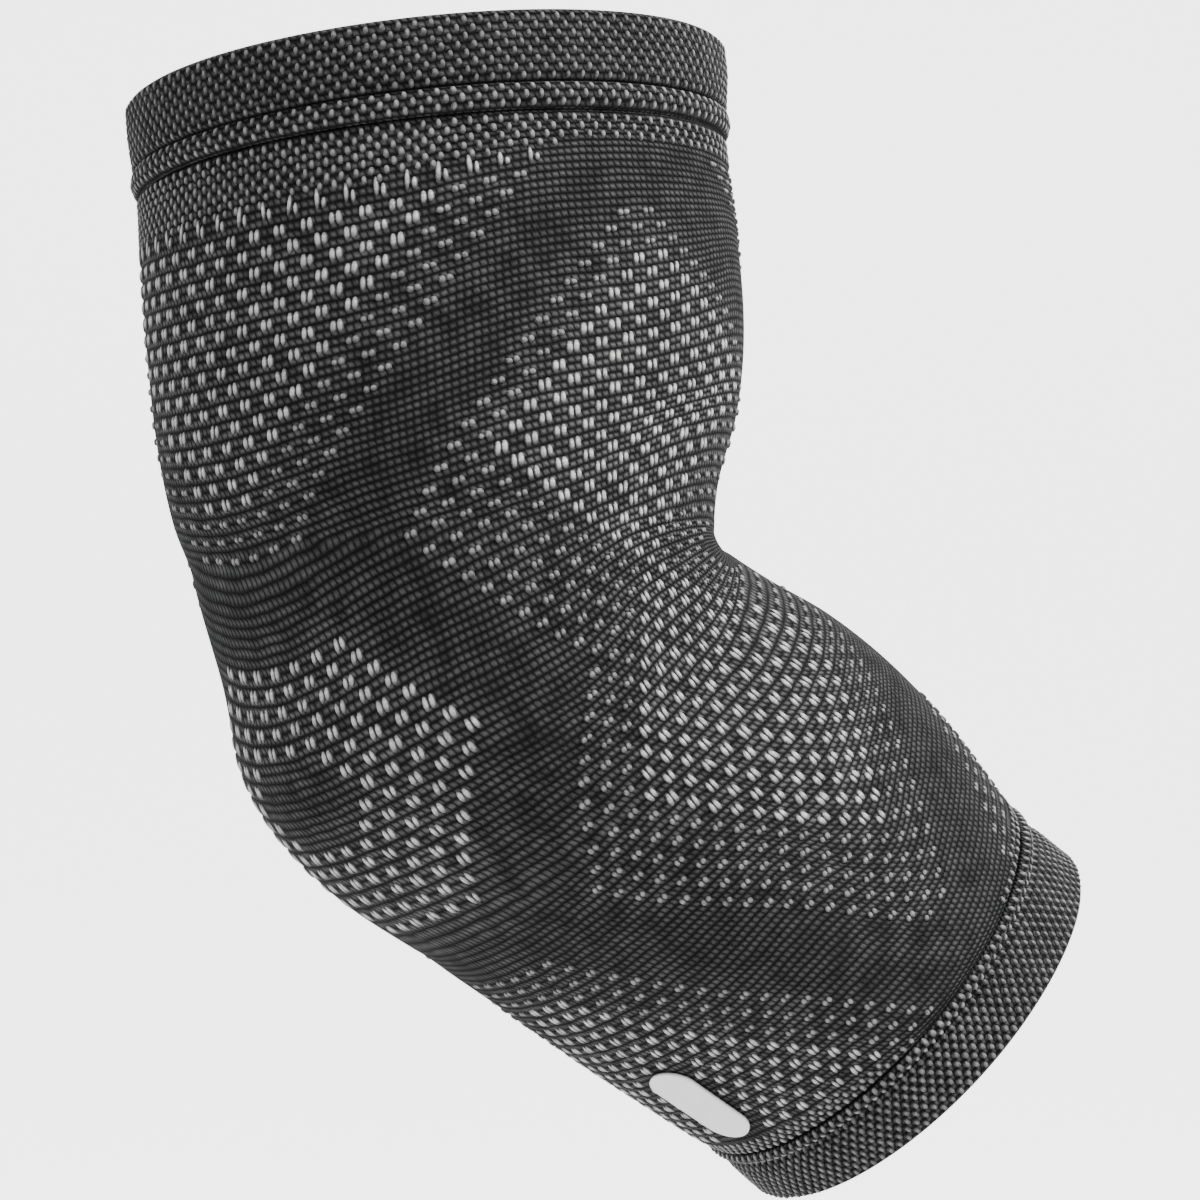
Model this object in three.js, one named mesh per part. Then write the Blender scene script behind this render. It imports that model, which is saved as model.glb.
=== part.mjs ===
// A knitted elbow brace that keeps the bent form of the arm it is worn on.
// Millimetres, +Z up. The arm bends in the XZ plane: the upper arm goes up and the
// forearm goes down towards +X. The origin is the middle of the elbow, on the centre line.
import * as THREE from "three";

// Driving sizes of the bent arm
const bendAngle = 51; // degrees that the forearm turns away from the upper arm
const leanAngle = 5.5; // degrees that the upper arm leans back from +Z
const bendRadius = 44; // from the crook to the centre line
const upperLength = 80.5; // from the bend to the upper rim
const forearmLength = 82; // from the bend to the lower rim
const upperRadius = 50; // half a usual upper arm, with the knit on it
const forearmRadius = 43; // half a usual forearm below the elbow, with the knit on it

// Driving sizes of the knit
const bodyWall = 2;
const cuffWall = 2.8; // two layers, folded at the rim
const upperCuffLength = 16;
const lowerCuffLength = 14;
const upperRidgeLength = 4.4; // the raised band where the fold is knitted shut
const lowerRidgeLength = 2.6;
const ridgeRise = 0.7;
const grooveDepth = 0.8;
const rimRounding = 0.9;
const seamGap = 0.3; // between the body and a cuff

// Driving sizes of the blank transfer film by the lower cuff
const filmLength = 21;
const filmWidth = 9;
const filmThickness = 0.5;
const filmClearance = 0.3;
const filmTurn = 166; // degrees round from the front, through the near side
const filmToCuff = 7; // from the end of the film to the lower cuff

// How finely the faceted walls are cut
const facetsRound = 40;
const bodyRings = 33;
const bendRingCrowding = 0.35; // share of the rings that move towards the bend
const filmSteps = 10;
const filmStrips = 4;

// Sections of the upper arm, from the bend (0) to the rim (1). Radii are shares of
// upperRadius, and slope tips a section so that its front lies lower on the arm.
const upperRows = [
  { along: 1.0, front: 1.035, back: 0.99, side: 0.99, slope: -0.035 },
  { along: 0.93, front: 1.035, back: 0.99, side: 0.99, slope: -0.035 },
  { along: 0.8, front: 1.01, back: 0.975, side: 0.975, slope: -0.03 },
  { along: 0.62, front: 1.03, back: 0.985, side: 0.97, slope: -0.01 },
  { along: 0.42, front: 1.03, back: 0.99, side: 0.95, slope: 0 },
  { along: 0.25, front: 0.975, back: 0.98, side: 0.93, slope: 0 },
  { along: 0.1, front: 0.87, back: 0.945, side: 0.91, slope: 0 },
];

// Sections of the bend, from its upper end (0) to its lower end (1). Front radii are
// shares of bendRadius, so the crook never passes its pivot. The rest follow upperRadius.
const bendRows = [
  { along: 0, front: 0.95, back: 0.89, side: 0.9, slope: 0 },
  { along: 0.25, front: 0.95, back: 0.85, side: 0.9, slope: 0 },
  { along: 0.5, front: 0.96, back: 0.91, side: 0.9, slope: 0 },
  { along: 0.75, front: 0.97, back: 0.88, side: 0.89, slope: 0 },
  { along: 1.0, front: 0.985, back: 0.82, side: 0.88, slope: 0 },
];

// Sections of the forearm, from the bend (0) to the rim (1), as shares of forearmRadius.
const forearmRows = [
  { along: 0.12, front: 1.04, back: 0.94, side: 1.01, slope: 0 },
  { along: 0.27, front: 1.095, back: 0.925, side: 1.0, slope: 0 },
  { along: 0.44, front: 1.11, back: 0.91, side: 0.965, slope: 0 },
  { along: 0.61, front: 1.075, back: 0.89, side: 0.92, slope: 0.02 },
  { along: 0.76, front: 1.0, back: 0.87, side: 0.875, slope: 0.05 },
  { along: 0.855, front: 0.95, back: 0.85, side: 0.84, slope: 0.08 },
  { along: 0.91, front: 0.96, back: 0.87, side: 0.835, slope: 0.1 },
  { along: 1.0, front: 0.965, back: 0.88, side: 0.83, slope: 0.12 },
];

const bend = THREE.MathUtils.degToRad(bendAngle);
const lean = THREE.MathUtils.degToRad(leanAngle);
const halfArc = (bendRadius * bend) / 2;
const upperRim = -halfArc - upperLength;
const lowerRim = halfArc + forearmLength;

// The directions at a place on the centre line, which is its distance from the origin
// along the line: negative up the upper arm, positive down the forearm.
function frameAt(place) {
  const angleOnArc = THREE.MathUtils.clamp(place / bendRadius, -bend / 2, bend / 2);
  const angle = lean + bend / 2 + angleOnArc;
  const front = new THREE.Vector3(Math.cos(angle), 0, Math.sin(angle));
  const wristward = new THREE.Vector3(Math.sin(angle), 0, -Math.cos(angle));
  const middle = lean + bend / 2;
  const centre = new THREE.Vector3(Math.cos(middle), 0, Math.sin(middle))
    .multiplyScalar(bendRadius)
    .addScaledVector(front, -bendRadius)
    .addScaledVector(wristward, place - angleOnArc * bendRadius);
  return { centre, front, wristward };
}

// All the rows in one list, from the upper rim to the lower rim, in millimetres.
function sectionList() {
  const upper = upperRows.map((row) => ({
    place: -halfArc - row.along * upperLength,
    front: row.front * upperRadius,
    back: row.back * upperRadius,
    side: row.side * upperRadius,
    slope: row.slope,
  }));
  const elbow = bendRows.map((row) => ({
    place: (row.along - 0.5) * 2 * halfArc,
    front: row.front * bendRadius,
    back: row.back * upperRadius,
    side: row.side * upperRadius,
    slope: row.slope,
  }));
  const forearm = forearmRows.map((row) => ({
    place: halfArc + row.along * forearmLength,
    front: row.front * forearmRadius,
    back: row.back * forearmRadius,
    side: row.side * forearmRadius,
    slope: row.slope,
  }));
  return [...upper, ...elbow, ...forearm];
}

const sections = sectionList();

// The rate at which a column changes at a row, from the rows on both sides of it.
function rateAt(column, index) {
  const before = sections[Math.max(index - 1, 0)];
  const after = sections[Math.min(index + 1, sections.length - 1)];
  return (after[column] - before[column]) / (after.place - before.place);
}

// A column's value at a place, on a smooth curve through the rows.
function columnAt(column, place) {
  const inside = THREE.MathUtils.clamp(place, upperRim, lowerRim);
  let index = 0;
  while (index < sections.length - 2 && sections[index + 1].place < inside) index += 1;
  const start = sections[index];
  const end = sections[index + 1];
  const span = end.place - start.place;
  const share = (inside - start.place) / span;
  const startPull = rateAt(column, index) * span;
  const endPull = rateAt(column, index + 1) * span;
  const rise = end[column] - start[column];
  const cubic = startPull + endPull - 2 * rise;
  const square = 3 * rise - 2 * startPull - endPull;
  return start[column] + share * (startPull + share * (square + share * cubic));
}

// A point on the sleeve: round is the angle from the front through the near side (-Y),
// and outset is the distance out from the sleeve's outer face.
function pointOn(place, round, outset) {
  const { centre, front, wristward } = frameAt(place);
  const reach = columnAt(Math.cos(round) > 0 ? "front" : "back", place);
  const forward = (reach + outset) * Math.cos(round);
  const sideways = -(columnAt("side", place) + outset) * Math.sin(round);
  return centre
    .clone()
    .addScaledVector(front, forward)
    .addScaledVector(wristward, columnAt("slope", place) * forward)
    .add(new THREE.Vector3(0, sideways, 0));
}

// A closed grid of points as a geometry. Each ring of the grid is closed, and so is the
// list of rings, as in a bent pipe with a wall.
function closedGrid(rings) {
  const round = rings[0].length;
  const positions = rings.flat().flatMap((point) => point.toArray());
  const faces = [];
  for (let ring = 0; ring < rings.length; ring += 1) {
    const nextRing = (ring + 1) % rings.length;
    for (let step = 0; step < round; step += 1) {
      const nextStep = (step + 1) % round;
      const near = ring * round + step;
      const beside = ring * round + nextStep;
      const below = nextRing * round + step;
      const across = nextRing * round + nextStep;
      faces.push(near, beside, below, beside, across, below);
    }
  }
  const geometry = new THREE.BufferGeometry();
  geometry.setAttribute("position", new THREE.Float32BufferAttribute(positions, 3));
  geometry.setIndex(faces);
  geometry.computeVertexNormals();
  return geometry;
}

// A wall swept round the arm. Each profile point is a place and an outset.
function sweepRound(profile) {
  const rings = profile.map(({ place, outset }) => {
    const ring = [];
    for (let facet = 0; facet < facetsRound; facet += 1) {
      ring.push(pointOn(place, (facet / facetsRound) * 2 * Math.PI, outset));
    }
    return ring;
  });
  return closedGrid(rings);
}

// A profile from its outer points, each a distance down from the start of the piece, with
// the inner face behind them at the wall's thickness.
function wallProfile(outer, wall) {
  const inner = outer.map(({ place }) => ({ place, outset: -wall })).reverse();
  return [...outer, ...inner];
}

// Knitted body, between the two cuffs
function sleeveBody() {
  const top = upperRim + upperCuffLength + seamGap;
  const bottom = lowerRim - lowerCuffLength - seamGap;
  const outer = [];
  for (let ring = 0; ring < bodyRings; ring += 1) {
    const share = ring / (bodyRings - 1);
    const crowded = share + (bendRingCrowding * Math.sin(2 * Math.PI * share)) / (2 * Math.PI);
    outer.push({ place: top + crowded * (bottom - top), outset: 0 });
  }
  return sweepRound(wallProfile(outer, bodyWall));
}

// A folded cuff: a rounded rim, a plain band, then the raised ridge between two grooves.
// Away is +1 for the upper cuff, whose rim is at the start of the line, and -1 for the lower.
function cuff(rim, away, length, ridge) {
  const groove = ridge / 4;
  const band = length - ridge;
  const steps = [
    { down: 0, outset: -cuffWall + rimRounding },
    { down: 0, outset: -rimRounding },
    { down: rimRounding, outset: 0 },
    { down: band / 2, outset: 0 },
    { down: band - groove, outset: 0 },
    { down: band, outset: -grooveDepth },
    { down: band + groove, outset: ridgeRise },
    { down: length - groove, outset: ridgeRise },
    { down: length, outset: -grooveDepth },
    { down: length, outset: -cuffWall },
    { down: band, outset: -cuffWall },
    { down: band / 2, outset: -cuffWall },
    { down: rimRounding, outset: -cuffWall },
  ];
  const profile = steps.map(({ down, outset }) => ({ place: rim + away * down, outset }));
  return sweepRound(away > 0 ? profile : profile.reverse());
}

// Blank heat-transfer film with round ends, laid along the forearm
function transferFilm() {
  const radius = filmWidth / 2;
  const end = lowerRim - lowerCuffLength - filmToCuff;
  const middle = end - filmLength / 2;
  const armRadius = columnAt("back", middle);
  const turn = THREE.MathUtils.degToRad(filmTurn);
  const pointOnFilm = (along, across, outset) =>
    pointOn(middle + along, turn + across / armRadius, outset);
  const rings = [];
  for (let step = 0; step <= filmSteps; step += 1) {
    // The first and last strips are narrow, but never a point.
    const along = -Math.cos((Math.PI * (step + 0.25)) / (filmSteps + 0.5)) * (filmLength / 2);
    const intoEnd = Math.max(Math.abs(along) - (filmLength / 2 - radius), 0);
    const half = Math.sqrt(radius ** 2 - intoEnd ** 2);
    const ring = [];
    for (let strip = 0; strip <= filmStrips; strip += 1) {
      const across = half * (1 - (2 * strip) / filmStrips);
      ring.push(pointOnFilm(along, across, filmClearance + filmThickness));
    }
    for (let strip = filmStrips; strip >= 0; strip -= 1) {
      const across = half * (1 - (2 * strip) / filmStrips);
      ring.push(pointOnFilm(along, across, filmClearance));
    }
    rings.push(ring);
  }
  return cappedGrid(rings);
}

// A list of closed rings as a geometry whose first and last rings are capped.
function cappedGrid(rings) {
  const round = rings[0].length;
  const positions = rings.flat().flatMap((point) => point.toArray());
  const faces = [];
  for (let ring = 0; ring < rings.length - 1; ring += 1) {
    for (let step = 0; step < round; step += 1) {
      const nextStep = (step + 1) % round;
      const near = ring * round + step;
      const beside = ring * round + nextStep;
      const below = near + round;
      const across = beside + round;
      faces.push(near, below, beside, beside, below, across);
    }
  }
  const lastRing = (rings.length - 1) * round;
  for (let strip = 0; strip < round / 2 - 1; strip += 1) {
    const opposite = round - 1 - strip;
    faces.push(strip, strip + 1, opposite, opposite, strip + 1, opposite - 1);
    const [near, beside] = [lastRing + strip, lastRing + strip + 1];
    const [far, farBeside] = [lastRing + opposite, lastRing + opposite - 1];
    faces.push(near, far, beside, far, farBeside, beside);
  }
  const geometry = new THREE.BufferGeometry();
  geometry.setAttribute("position", new THREE.Float32BufferAttribute(positions, 3));
  geometry.setIndex(faces);
  geometry.computeVertexNormals();
  return geometry;
}

const charcoalKnit = new THREE.MeshStandardMaterial({
  color: 0x2e2e30,
  roughness: 0.95,
  metalness: 0,
});
const whiteFilm = new THREE.MeshStandardMaterial({
  color: 0xf1f1ef,
  roughness: 0.55,
  metalness: 0,
});

function named(name, geometry, material) {
  const mesh = new THREE.Mesh(geometry, material);
  mesh.name = name;
  return mesh;
}

const brace = new THREE.Group();
brace.add(
  named("sleeve_body", sleeveBody(), charcoalKnit),
  named("upper_cuff", cuff(upperRim, 1, upperCuffLength, upperRidgeLength), charcoalKnit),
  named("lower_cuff", cuff(lowerRim, -1, lowerCuffLength, lowerRidgeLength), charcoalKnit),
  named("transfer_film", transferFilm(), whiteFilm),
);

export default brace;
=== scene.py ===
# %% [markdown]
# # A knitted elbow brace
# The brace is one seamless tube of knitting with a folded hem at each end. It keeps the bent
# form of an arm. This lesson builds it from its stitches: first the line of the arm, then the
# chart of the knit, then the walls, the hems, every light stitch, and the small blank film.

# %% Load the frame
import math

import bmesh
import bpy
import numpy as np
from mathutils import Matrix, Vector


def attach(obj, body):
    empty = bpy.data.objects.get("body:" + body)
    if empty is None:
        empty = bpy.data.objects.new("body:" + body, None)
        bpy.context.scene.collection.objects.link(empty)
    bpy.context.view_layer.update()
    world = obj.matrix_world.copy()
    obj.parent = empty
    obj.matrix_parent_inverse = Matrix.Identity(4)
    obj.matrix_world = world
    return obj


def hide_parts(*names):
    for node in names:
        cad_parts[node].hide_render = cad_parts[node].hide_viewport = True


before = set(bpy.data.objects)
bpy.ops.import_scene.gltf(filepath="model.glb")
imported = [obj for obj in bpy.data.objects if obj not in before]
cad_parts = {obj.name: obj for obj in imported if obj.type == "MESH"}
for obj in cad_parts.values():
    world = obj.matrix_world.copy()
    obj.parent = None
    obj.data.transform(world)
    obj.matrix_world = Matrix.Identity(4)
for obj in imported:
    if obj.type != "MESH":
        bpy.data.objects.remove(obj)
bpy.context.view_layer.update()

print("Nodes in the frame:", sorted(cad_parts))

# %% [markdown]
# ## The camera
# It comes first, so that each piece can be looked at as it is made. It stands a little below
# the elbow and looks up by a few degrees. A long lens keeps the tube's ellipses calm.

# %% Camera
MM = 0.001
camera_azimuth = math.radians(-28)
camera_elevation = math.radians(-8)
camera_distance = 700 * MM
lens_length = 126
sensor_width = 36
origin_in_picture = (492, 665)
picture_middle = 600
pixels_in_mm = 6

to_camera = Vector((
    math.sin(camera_azimuth) * math.cos(camera_elevation),
    -math.cos(camera_azimuth) * math.cos(camera_elevation),
    math.sin(camera_elevation),
))
camera_right = Vector((math.cos(camera_azimuth), math.sin(camera_azimuth), 0))
camera_up = to_camera.cross(camera_right)
shift_right = (picture_middle - origin_in_picture[0]) / pixels_in_mm * MM
shift_up = (origin_in_picture[1] - picture_middle) / pixels_in_mm * MM
target = camera_right * shift_right + camera_up * shift_up

camera_data = bpy.data.cameras.new("camera")
camera_data.lens = lens_length
camera_data.sensor_width = sensor_width
camera = bpy.data.objects.new("camera", camera_data)
camera.location = target + to_camera * camera_distance
camera.rotation_euler = to_camera.to_track_quat("Z", "Y").to_euler()
bpy.context.collection.objects.link(camera)
bpy.context.scene.camera = camera
print("Camera at", [round(value, 3) for value in camera.location])

# %% [markdown]
# ## The line of the arm
# The tube follows a centre line: straight down the upper arm, round an arc at the elbow and
# straight down the forearm. A place on the line is its distance from the elbow's middle, and
# each place has a front, a back and a side radius. Short tables hold them as shares, and a
# smooth curve runs through the rows, so the wall has no kinks.

# %% Sizes of the arm and the hems, in millimetres
bend = math.radians(51)
lean = math.radians(5.5)
bend_radius = 44
upper_length = 80.5
forearm_length = 82
upper_radius = 50
forearm_radius = 43
body_wall = 2
cuff_wall = 2.8
upper_cuff_length = 16
lower_cuff_length = 14
upper_ridge_length = 4.4
lower_ridge_length = 2.6
ridge_rise = 0.7
groove_depth = 0.8
rim_rounding = 1.2

half_arc = bend_radius * bend / 2
upper_rim = -half_arc - upper_length
lower_rim = half_arc + forearm_length

film_length = 21
film_width = 9
film_thickness = 0.5
film_clearance = 0.3
film_turn = 166
film_to_cuff = 7
film_margin = 0.6
film_middle = lower_rim - lower_cuff_length - film_to_cuff - film_length / 2

# Each row is: how far along its stretch, then the front, back and side radius as shares of
# the arm's radius, then how far the cut leans towards the hand at the front. On the bend the
# front is a share of the bend's own radius, so the wall never crosses the bend's centre.
upper_rows = [
    (1.0, 1.035, 0.99, 0.99, -0.035),
    (0.93, 1.035, 0.99, 0.99, -0.035),
    (0.8, 1.01, 0.975, 0.975, -0.03),
    (0.62, 1.03, 0.985, 0.97, -0.01),
    (0.42, 1.03, 0.99, 0.95, 0),
    (0.25, 0.975, 0.98, 0.93, 0),
    (0.1, 0.87, 0.945, 0.91, 0),
]
bend_rows = [
    (0, 0.95, 0.89, 0.9, 0),
    (0.25, 0.95, 0.85, 0.9, 0),
    (0.5, 0.96, 0.91, 0.9, 0),
    (0.75, 0.97, 0.88, 0.89, 0),
    (1.0, 0.985, 0.82, 0.88, 0),
]
forearm_rows = [
    (0.12, 1.04, 0.94, 1.01, 0),
    (0.27, 1.095, 0.925, 1.0, 0),
    (0.44, 1.11, 0.91, 0.965, 0),
    (0.61, 1.075, 0.89, 0.92, 0.02),
    (0.76, 1.0, 0.87, 0.875, 0.05),
    (0.855, 0.95, 0.85, 0.84, 0.08),
    (0.91, 0.96, 0.87, 0.835, 0.1),
    (1.0, 0.965, 0.88, 0.83, 0.12),
]


def sized(row, place, front_radius, radius):
    """One table row in millimetres."""
    _, front, back, side, slope = row
    return (place, front * front_radius, back * radius, side * radius, slope)


sections = np.array(
    [sized(row, -half_arc - row[0] * upper_length, upper_radius, upper_radius)
     for row in upper_rows]
    + [sized(row, (row[0] - 0.5) * 2 * half_arc, bend_radius, upper_radius)
       for row in bend_rows]
    + [sized(row, half_arc + row[0] * forearm_length, forearm_radius, forearm_radius)
       for row in forearm_rows]
)
FRONT, BACK, SIDE, SLOPE = 1, 2, 3, 4
print("Sections:", len(sections), "from", round(upper_rim, 1), "to", round(lower_rim, 1))


# %% [markdown]
# A smooth curve through a few stations serves the sections, and later the chart of the knit.
# At each station it takes the rate between the two neighbours, as a drawn spline would.

# %% Smooth curves and points on the sleeve
def smooth_curve(stations, values, where):
    """The values at where, on a smooth curve through the stations."""
    stations = np.asarray(stations, float)
    values = np.asarray(values, float)
    where = np.asarray(where, float).ravel()
    if values.ndim == 1:
        values = np.repeat(values[:, None], len(where), axis=1)
    order = np.arange(len(stations))
    before = np.maximum(order - 1, 0)
    after = np.minimum(order + 1, len(stations) - 1)
    rates = (values[after] - values[before]) / (stations[after] - stations[before])[:, None]
    inside = np.clip(where, stations[0], stations[-1])
    start = np.clip(np.searchsorted(stations, inside) - 1, 0, len(stations) - 2)
    column = np.arange(len(where))
    span = stations[start + 1] - stations[start]
    share = (inside - stations[start]) / span
    low = values[start, column]
    rise = values[start + 1, column] - low
    start_pull = rates[start, column] * span
    end_pull = rates[start + 1, column] * span
    cubic = start_pull + end_pull - 2 * rise
    square = 3 * rise - 2 * start_pull - end_pull
    return low + share * (start_pull + share * (square + share * cubic))


def section_at(which, place):
    """One column of the section table, at a place on the line."""
    return smooth_curve(sections[:, 0], sections[:, which], place)


def sleeve_point(place, turn, outset):
    """Points in metres: turn is in degrees from the front through the near side."""
    place, turn, outset = (a.ravel() for a in np.broadcast_arrays(place, turn, outset))
    on_arc = np.clip(place / bend_radius, -bend / 2, bend / 2)
    angle = lean + bend / 2 + on_arc
    beyond = place - on_arc * bend_radius
    middle = lean + bend / 2
    centre_x = bend_radius * (math.cos(middle) - np.cos(angle)) + np.sin(angle) * beyond
    centre_z = bend_radius * (math.sin(middle) - np.sin(angle)) - np.cos(angle) * beyond
    around = np.radians(turn)
    reach = np.where(np.cos(around) > 0, section_at(FRONT, place), section_at(BACK, place))
    forward = (reach + outset) * np.cos(around)
    sideways = -(section_at(SIDE, place) + outset) * np.sin(around)
    wristward = section_at(SLOPE, place) * forward
    x = centre_x + np.cos(angle) * forward + np.sin(angle) * wristward
    z = centre_z + np.sin(angle) * forward - np.cos(angle) * wristward
    return np.stack([x, sideways, z], axis=1) * MM


print("Crook at", sleeve_point(np.array([0.0]), 0.0, 0.0).round(4).tolist())

# %% [markdown]
# ## The chart of the knit
# The tube has 120 columns round it, each two stitches wide, and 67 rows of two courses each
# between the hems. The pattern lies on rows 0 to 61. Columns count both ways from the middle
# of the back, so the pattern is nearly even about it. On a bent arm the rows crowd at the
# crook and spread over the elbow. Two tables say where the rows and the columns lie, and the
# chart itself stays a plain lattice.

# %% Where the rows and columns lie
columns_round = 120
last_row = 61
column_turn = 360 / columns_round

# Places of some rows at some columns, counted from the middle of the back.
chart_columns = (0, 13, 22, 30, 35, 42, 60)
row_places = {
    -4: (-84.5, -84.5, -84.5, -84.5, -84.5, -84.5, -84.5),
    0: (-71.2, -72.6, -76, -77.3, -77.5, -77.5, -77),
    10: (-41.5, -44.5, -50, -53, -56, -60, -60),
    16: (-24.2, -29.2, -34.5, -38.2, -41, -44.5, -47),
    20: (-14.4, -18.8, -24, -29.4, -33, -36, -38),
    30: (1.7, 0.8, 0.5, -3.8, -5, -6, 0),
    38: (15, 16.6, 18.4, 22.2, 25, 27, 28),
    43: (29.6, 30.4, 32.8, 38, 40, 41, 42),
    51: (52.6, 53.4, 54.2, 60, 58.5, 57, 57),
    57: (69.4, 70.5, 72.8, 74.6, 73.5, 72, 72),
    61: (80.6, 82, 85, 85, 84, 82, 82),
    63: (88, 88, 88, 88, 88, 88, 88),
}

# Each row is: a place, the turn of the middle of the back there, how far the sides slip
# round with the twist of the arm, and how far the columns spread over the elbow.
twist_rows = [
    (-100, 162.5, -3.5, 0),
    (-72, 162.5, -3.3, 0),
    (-45, 165, -1.2, 0.3),
    (-25, 167, -0.3, 1.2),
    (-8, 168, 0.5, 3),
    (5, 168, 0.3, 3.8),
    (20, 168, -1.5, 2),
    (35, 168, -2.5, 0.5),
    (102, 168, -2.5, 0),
]


def row_place(row, column):
    """The place of a row at a column."""
    row, column = (a.ravel() for a in np.broadcast_arrays(row, column))
    table = np.array(list(row_places.values()), float)
    stations = list(row_places)
    by_column = [smooth_curve(stations, table[:, k], row) for k in range(len(chart_columns))]
    mirrored = [by_column[1], *by_column, by_column[-2]]
    places_round = (-chart_columns[1], *chart_columns, columns_round - chart_columns[-2])
    folded = np.abs((column + columns_round / 2) % columns_round - columns_round / 2)
    return smooth_curve(places_round, np.array(mirrored), folded)


def column_at(column, place):
    """The turn of a column at a place, in degrees."""
    column, place = (a.ravel() for a in np.broadcast_arrays(column, place))
    table = np.array(twist_rows)
    middle, slip, spread = (smooth_curve(table[:, 0], table[:, k], place) for k in (1, 2, 3))
    around = np.radians(column * column_turn)
    return middle + column * column_turn + slip * np.sin(around) + spread * np.sin(2 * around)


def knit_point(column, row, outset):
    """A point in metres at a column and row of the chart."""
    place = row_place(row, column)
    return sleeve_point(place, column_at(column, place), outset)


# %% [markdown]
# Each lattice point may hold a large stitch, a small one or none. A large stitch is two
# tall loops side by side, a small one is two short loops. They sit on every other point, and
# each zone's edge moves by one column a row, which is what gives a knitted zone its slanted
# sides. The zones are a peak on the upper back, a ring round the point of the elbow, a wedge
# on the lower back, and on each side two kites that meet at the waist.

# %% The chart's zones
NONE, SMALL, LARGE, SPIKE, TALL_SPIKE = range(5)
LOW, HIGH = -math.inf, math.inf

# Each line is: the stitch, the zone's middle column, its first and last row, then the limits
# of (columns from the middle + row) and of (columns from the middle - row), which are its
# slanted edges. The first zone that holds a point decides.
zones = [
    # The peak on the upper back, under a row of spikes.
    (TALL_SPIKE, 0, (0, 0), (LOW, 19), (LOW, HIGH)),
    (SPIKE, 0, (0, 0), (LOW, 24), (LOW, HIGH)),
    (LARGE, 0, (1, 15), (LOW, 18), (LOW, HIGH)),
    (SMALL, 0, (1, 18), (LOW, 24), (LOW, HIGH)),
    # The wedge on the lower back.
    (LARGE, 1, (46, last_row), (LOW, HIGH), (LOW, -44)),
    (SMALL, 1, (43, last_row), (LOW, HIGH), (LOW, -38)),
    # The dark diamond on the point of the elbow, and the ring round it.
    (NONE, 1, (28, 32), (LOW, 34), (LOW, -26)),
    (LARGE, 0, (23, 38), (LOW, 43), (LOW, -17)),
    # The two kites on a side, large stitches inside small ones.
    (LARGE, 0, (7, 28), (37, 59), (3, 25)),
    (LARGE, 0, (29, 50), (59, 81), (-19, 4)),
    (SMALL, 0, (4, 30), (33, 67), (-7, 27)),
    (SMALL, 0, (30, 57), (53, 87), (-29, 9)),
    # The front, below the upper hem and above the lower one.
    (SMALL, 0, (0, 8), (LOW, HIGH), (38, HIGH)),
    (SMALL, 0, (54, last_row), (98, HIGH), (LOW, HIGH)),
]


def between(value, limits):
    """Whether a value lies within its limits."""
    return limits[0] <= value <= limits[1]


def zone_at(row, column):
    """The stitch of the first zone that holds a point."""
    for kind, middle, rows, sums, differences in zones:
        away = abs(column - middle)
        if between(row, rows) and between(away + row, sums) and between(away - row, differences):
            return kind
    return NONE


def under_film(row, column):
    """Whether the film covers a lattice point."""
    place = float(row_place(row, column)[0])
    around = math.radians(float(column_at(column, place)[0]) - film_turn)
    aside = abs(around) * float(section_at(BACK, place)[0])
    beyond = abs(place - film_middle) - film_length / 2
    return beyond < film_margin and aside < film_width / 2 + film_margin


def stitch_at(row, column):
    """What the lattice holds at a row and column."""
    if (row + abs(column)) % 2 == 0 or under_film(row, column):
        return NONE
    return zone_at(row, column)


stitch_spots = {kind: [] for kind in (SMALL, LARGE, SPIKE, TALL_SPIKE)}
for row in range(last_row + 1):
    for column in range(-columns_round // 2, columns_round // 2):
        kind = stitch_at(row, column)
        if kind != NONE:
            stitch_spots[kind].append((column, row))
print("Charted stitches:", {kind: len(spots) for kind, spots in stitch_spots.items()})

# %% [markdown]
# Light yarn also runs behind the dark one wherever the pattern is, and greys the knit there.
# So each point of the wall needs the share of light stitches round it, which is the chart
# itself, blurred over a few rows and columns.

# %% How grey the knit is
blur_weights = (1 / 8, 2 / 8, 2 / 8, 2 / 8, 1 / 8)
stitch_lightness = {SMALL: 0.8, LARGE: 1.6, SPIKE: 0.8, TALL_SPIKE: 0.8}


def blurred_chart():
    """The share of light stitches by row and column."""
    table = np.zeros((last_row + 1, columns_round))
    for kind, spots in stitch_spots.items():
        for column, row in spots:
            table[row, column % columns_round] = stitch_lightness[kind]
    reach = len(blur_weights) // 2
    padded = np.pad(table, ((reach, reach), (0, 0)))
    rows = sum(weight * padded[k:k + len(table)] for k, weight in enumerate(blur_weights))
    return sum(weight * np.roll(rows, k - reach, axis=1)
               for k, weight in enumerate(blur_weights))


grey_table = blurred_chart()


def grey_share(column, row):
    """How grey the knit is at points of the chart."""
    across = np.rint(column).astype(int) % columns_round
    down = np.clip(np.rint(row).astype(int), 0, last_row)
    return grey_table[down, across]


print("Greyest knit:", round(float(grey_table.max()), 2))


# %% [markdown]
# ## Materials
# The ground is a dark melange yarn. What reads as knit is one rounded bump for each stitch,
# with painted light on its crown and painted shade, nearly black, between the bumps. The walls
# carry a UV map that counts stitches, so one shader group can draw that bump and its painted
# shade wherever the wall bends. A second group gives every yarn its fibres.

# %% Helpers for shader groups
def new_group(name, inputs, outputs):
    """A shader node group with named sockets."""
    group = bpy.data.node_groups.new(name, "ShaderNodeTree")
    for label, kind in inputs:
        group.interface.new_socket(name=label, in_out="INPUT", socket_type=kind)
    for label, kind in outputs:
        group.interface.new_socket(name=label, in_out="OUTPUT", socket_type=kind)
    source = group.nodes.new("NodeGroupInput")
    sink = group.nodes.new("NodeGroupOutput")
    return group, source, sink


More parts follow.
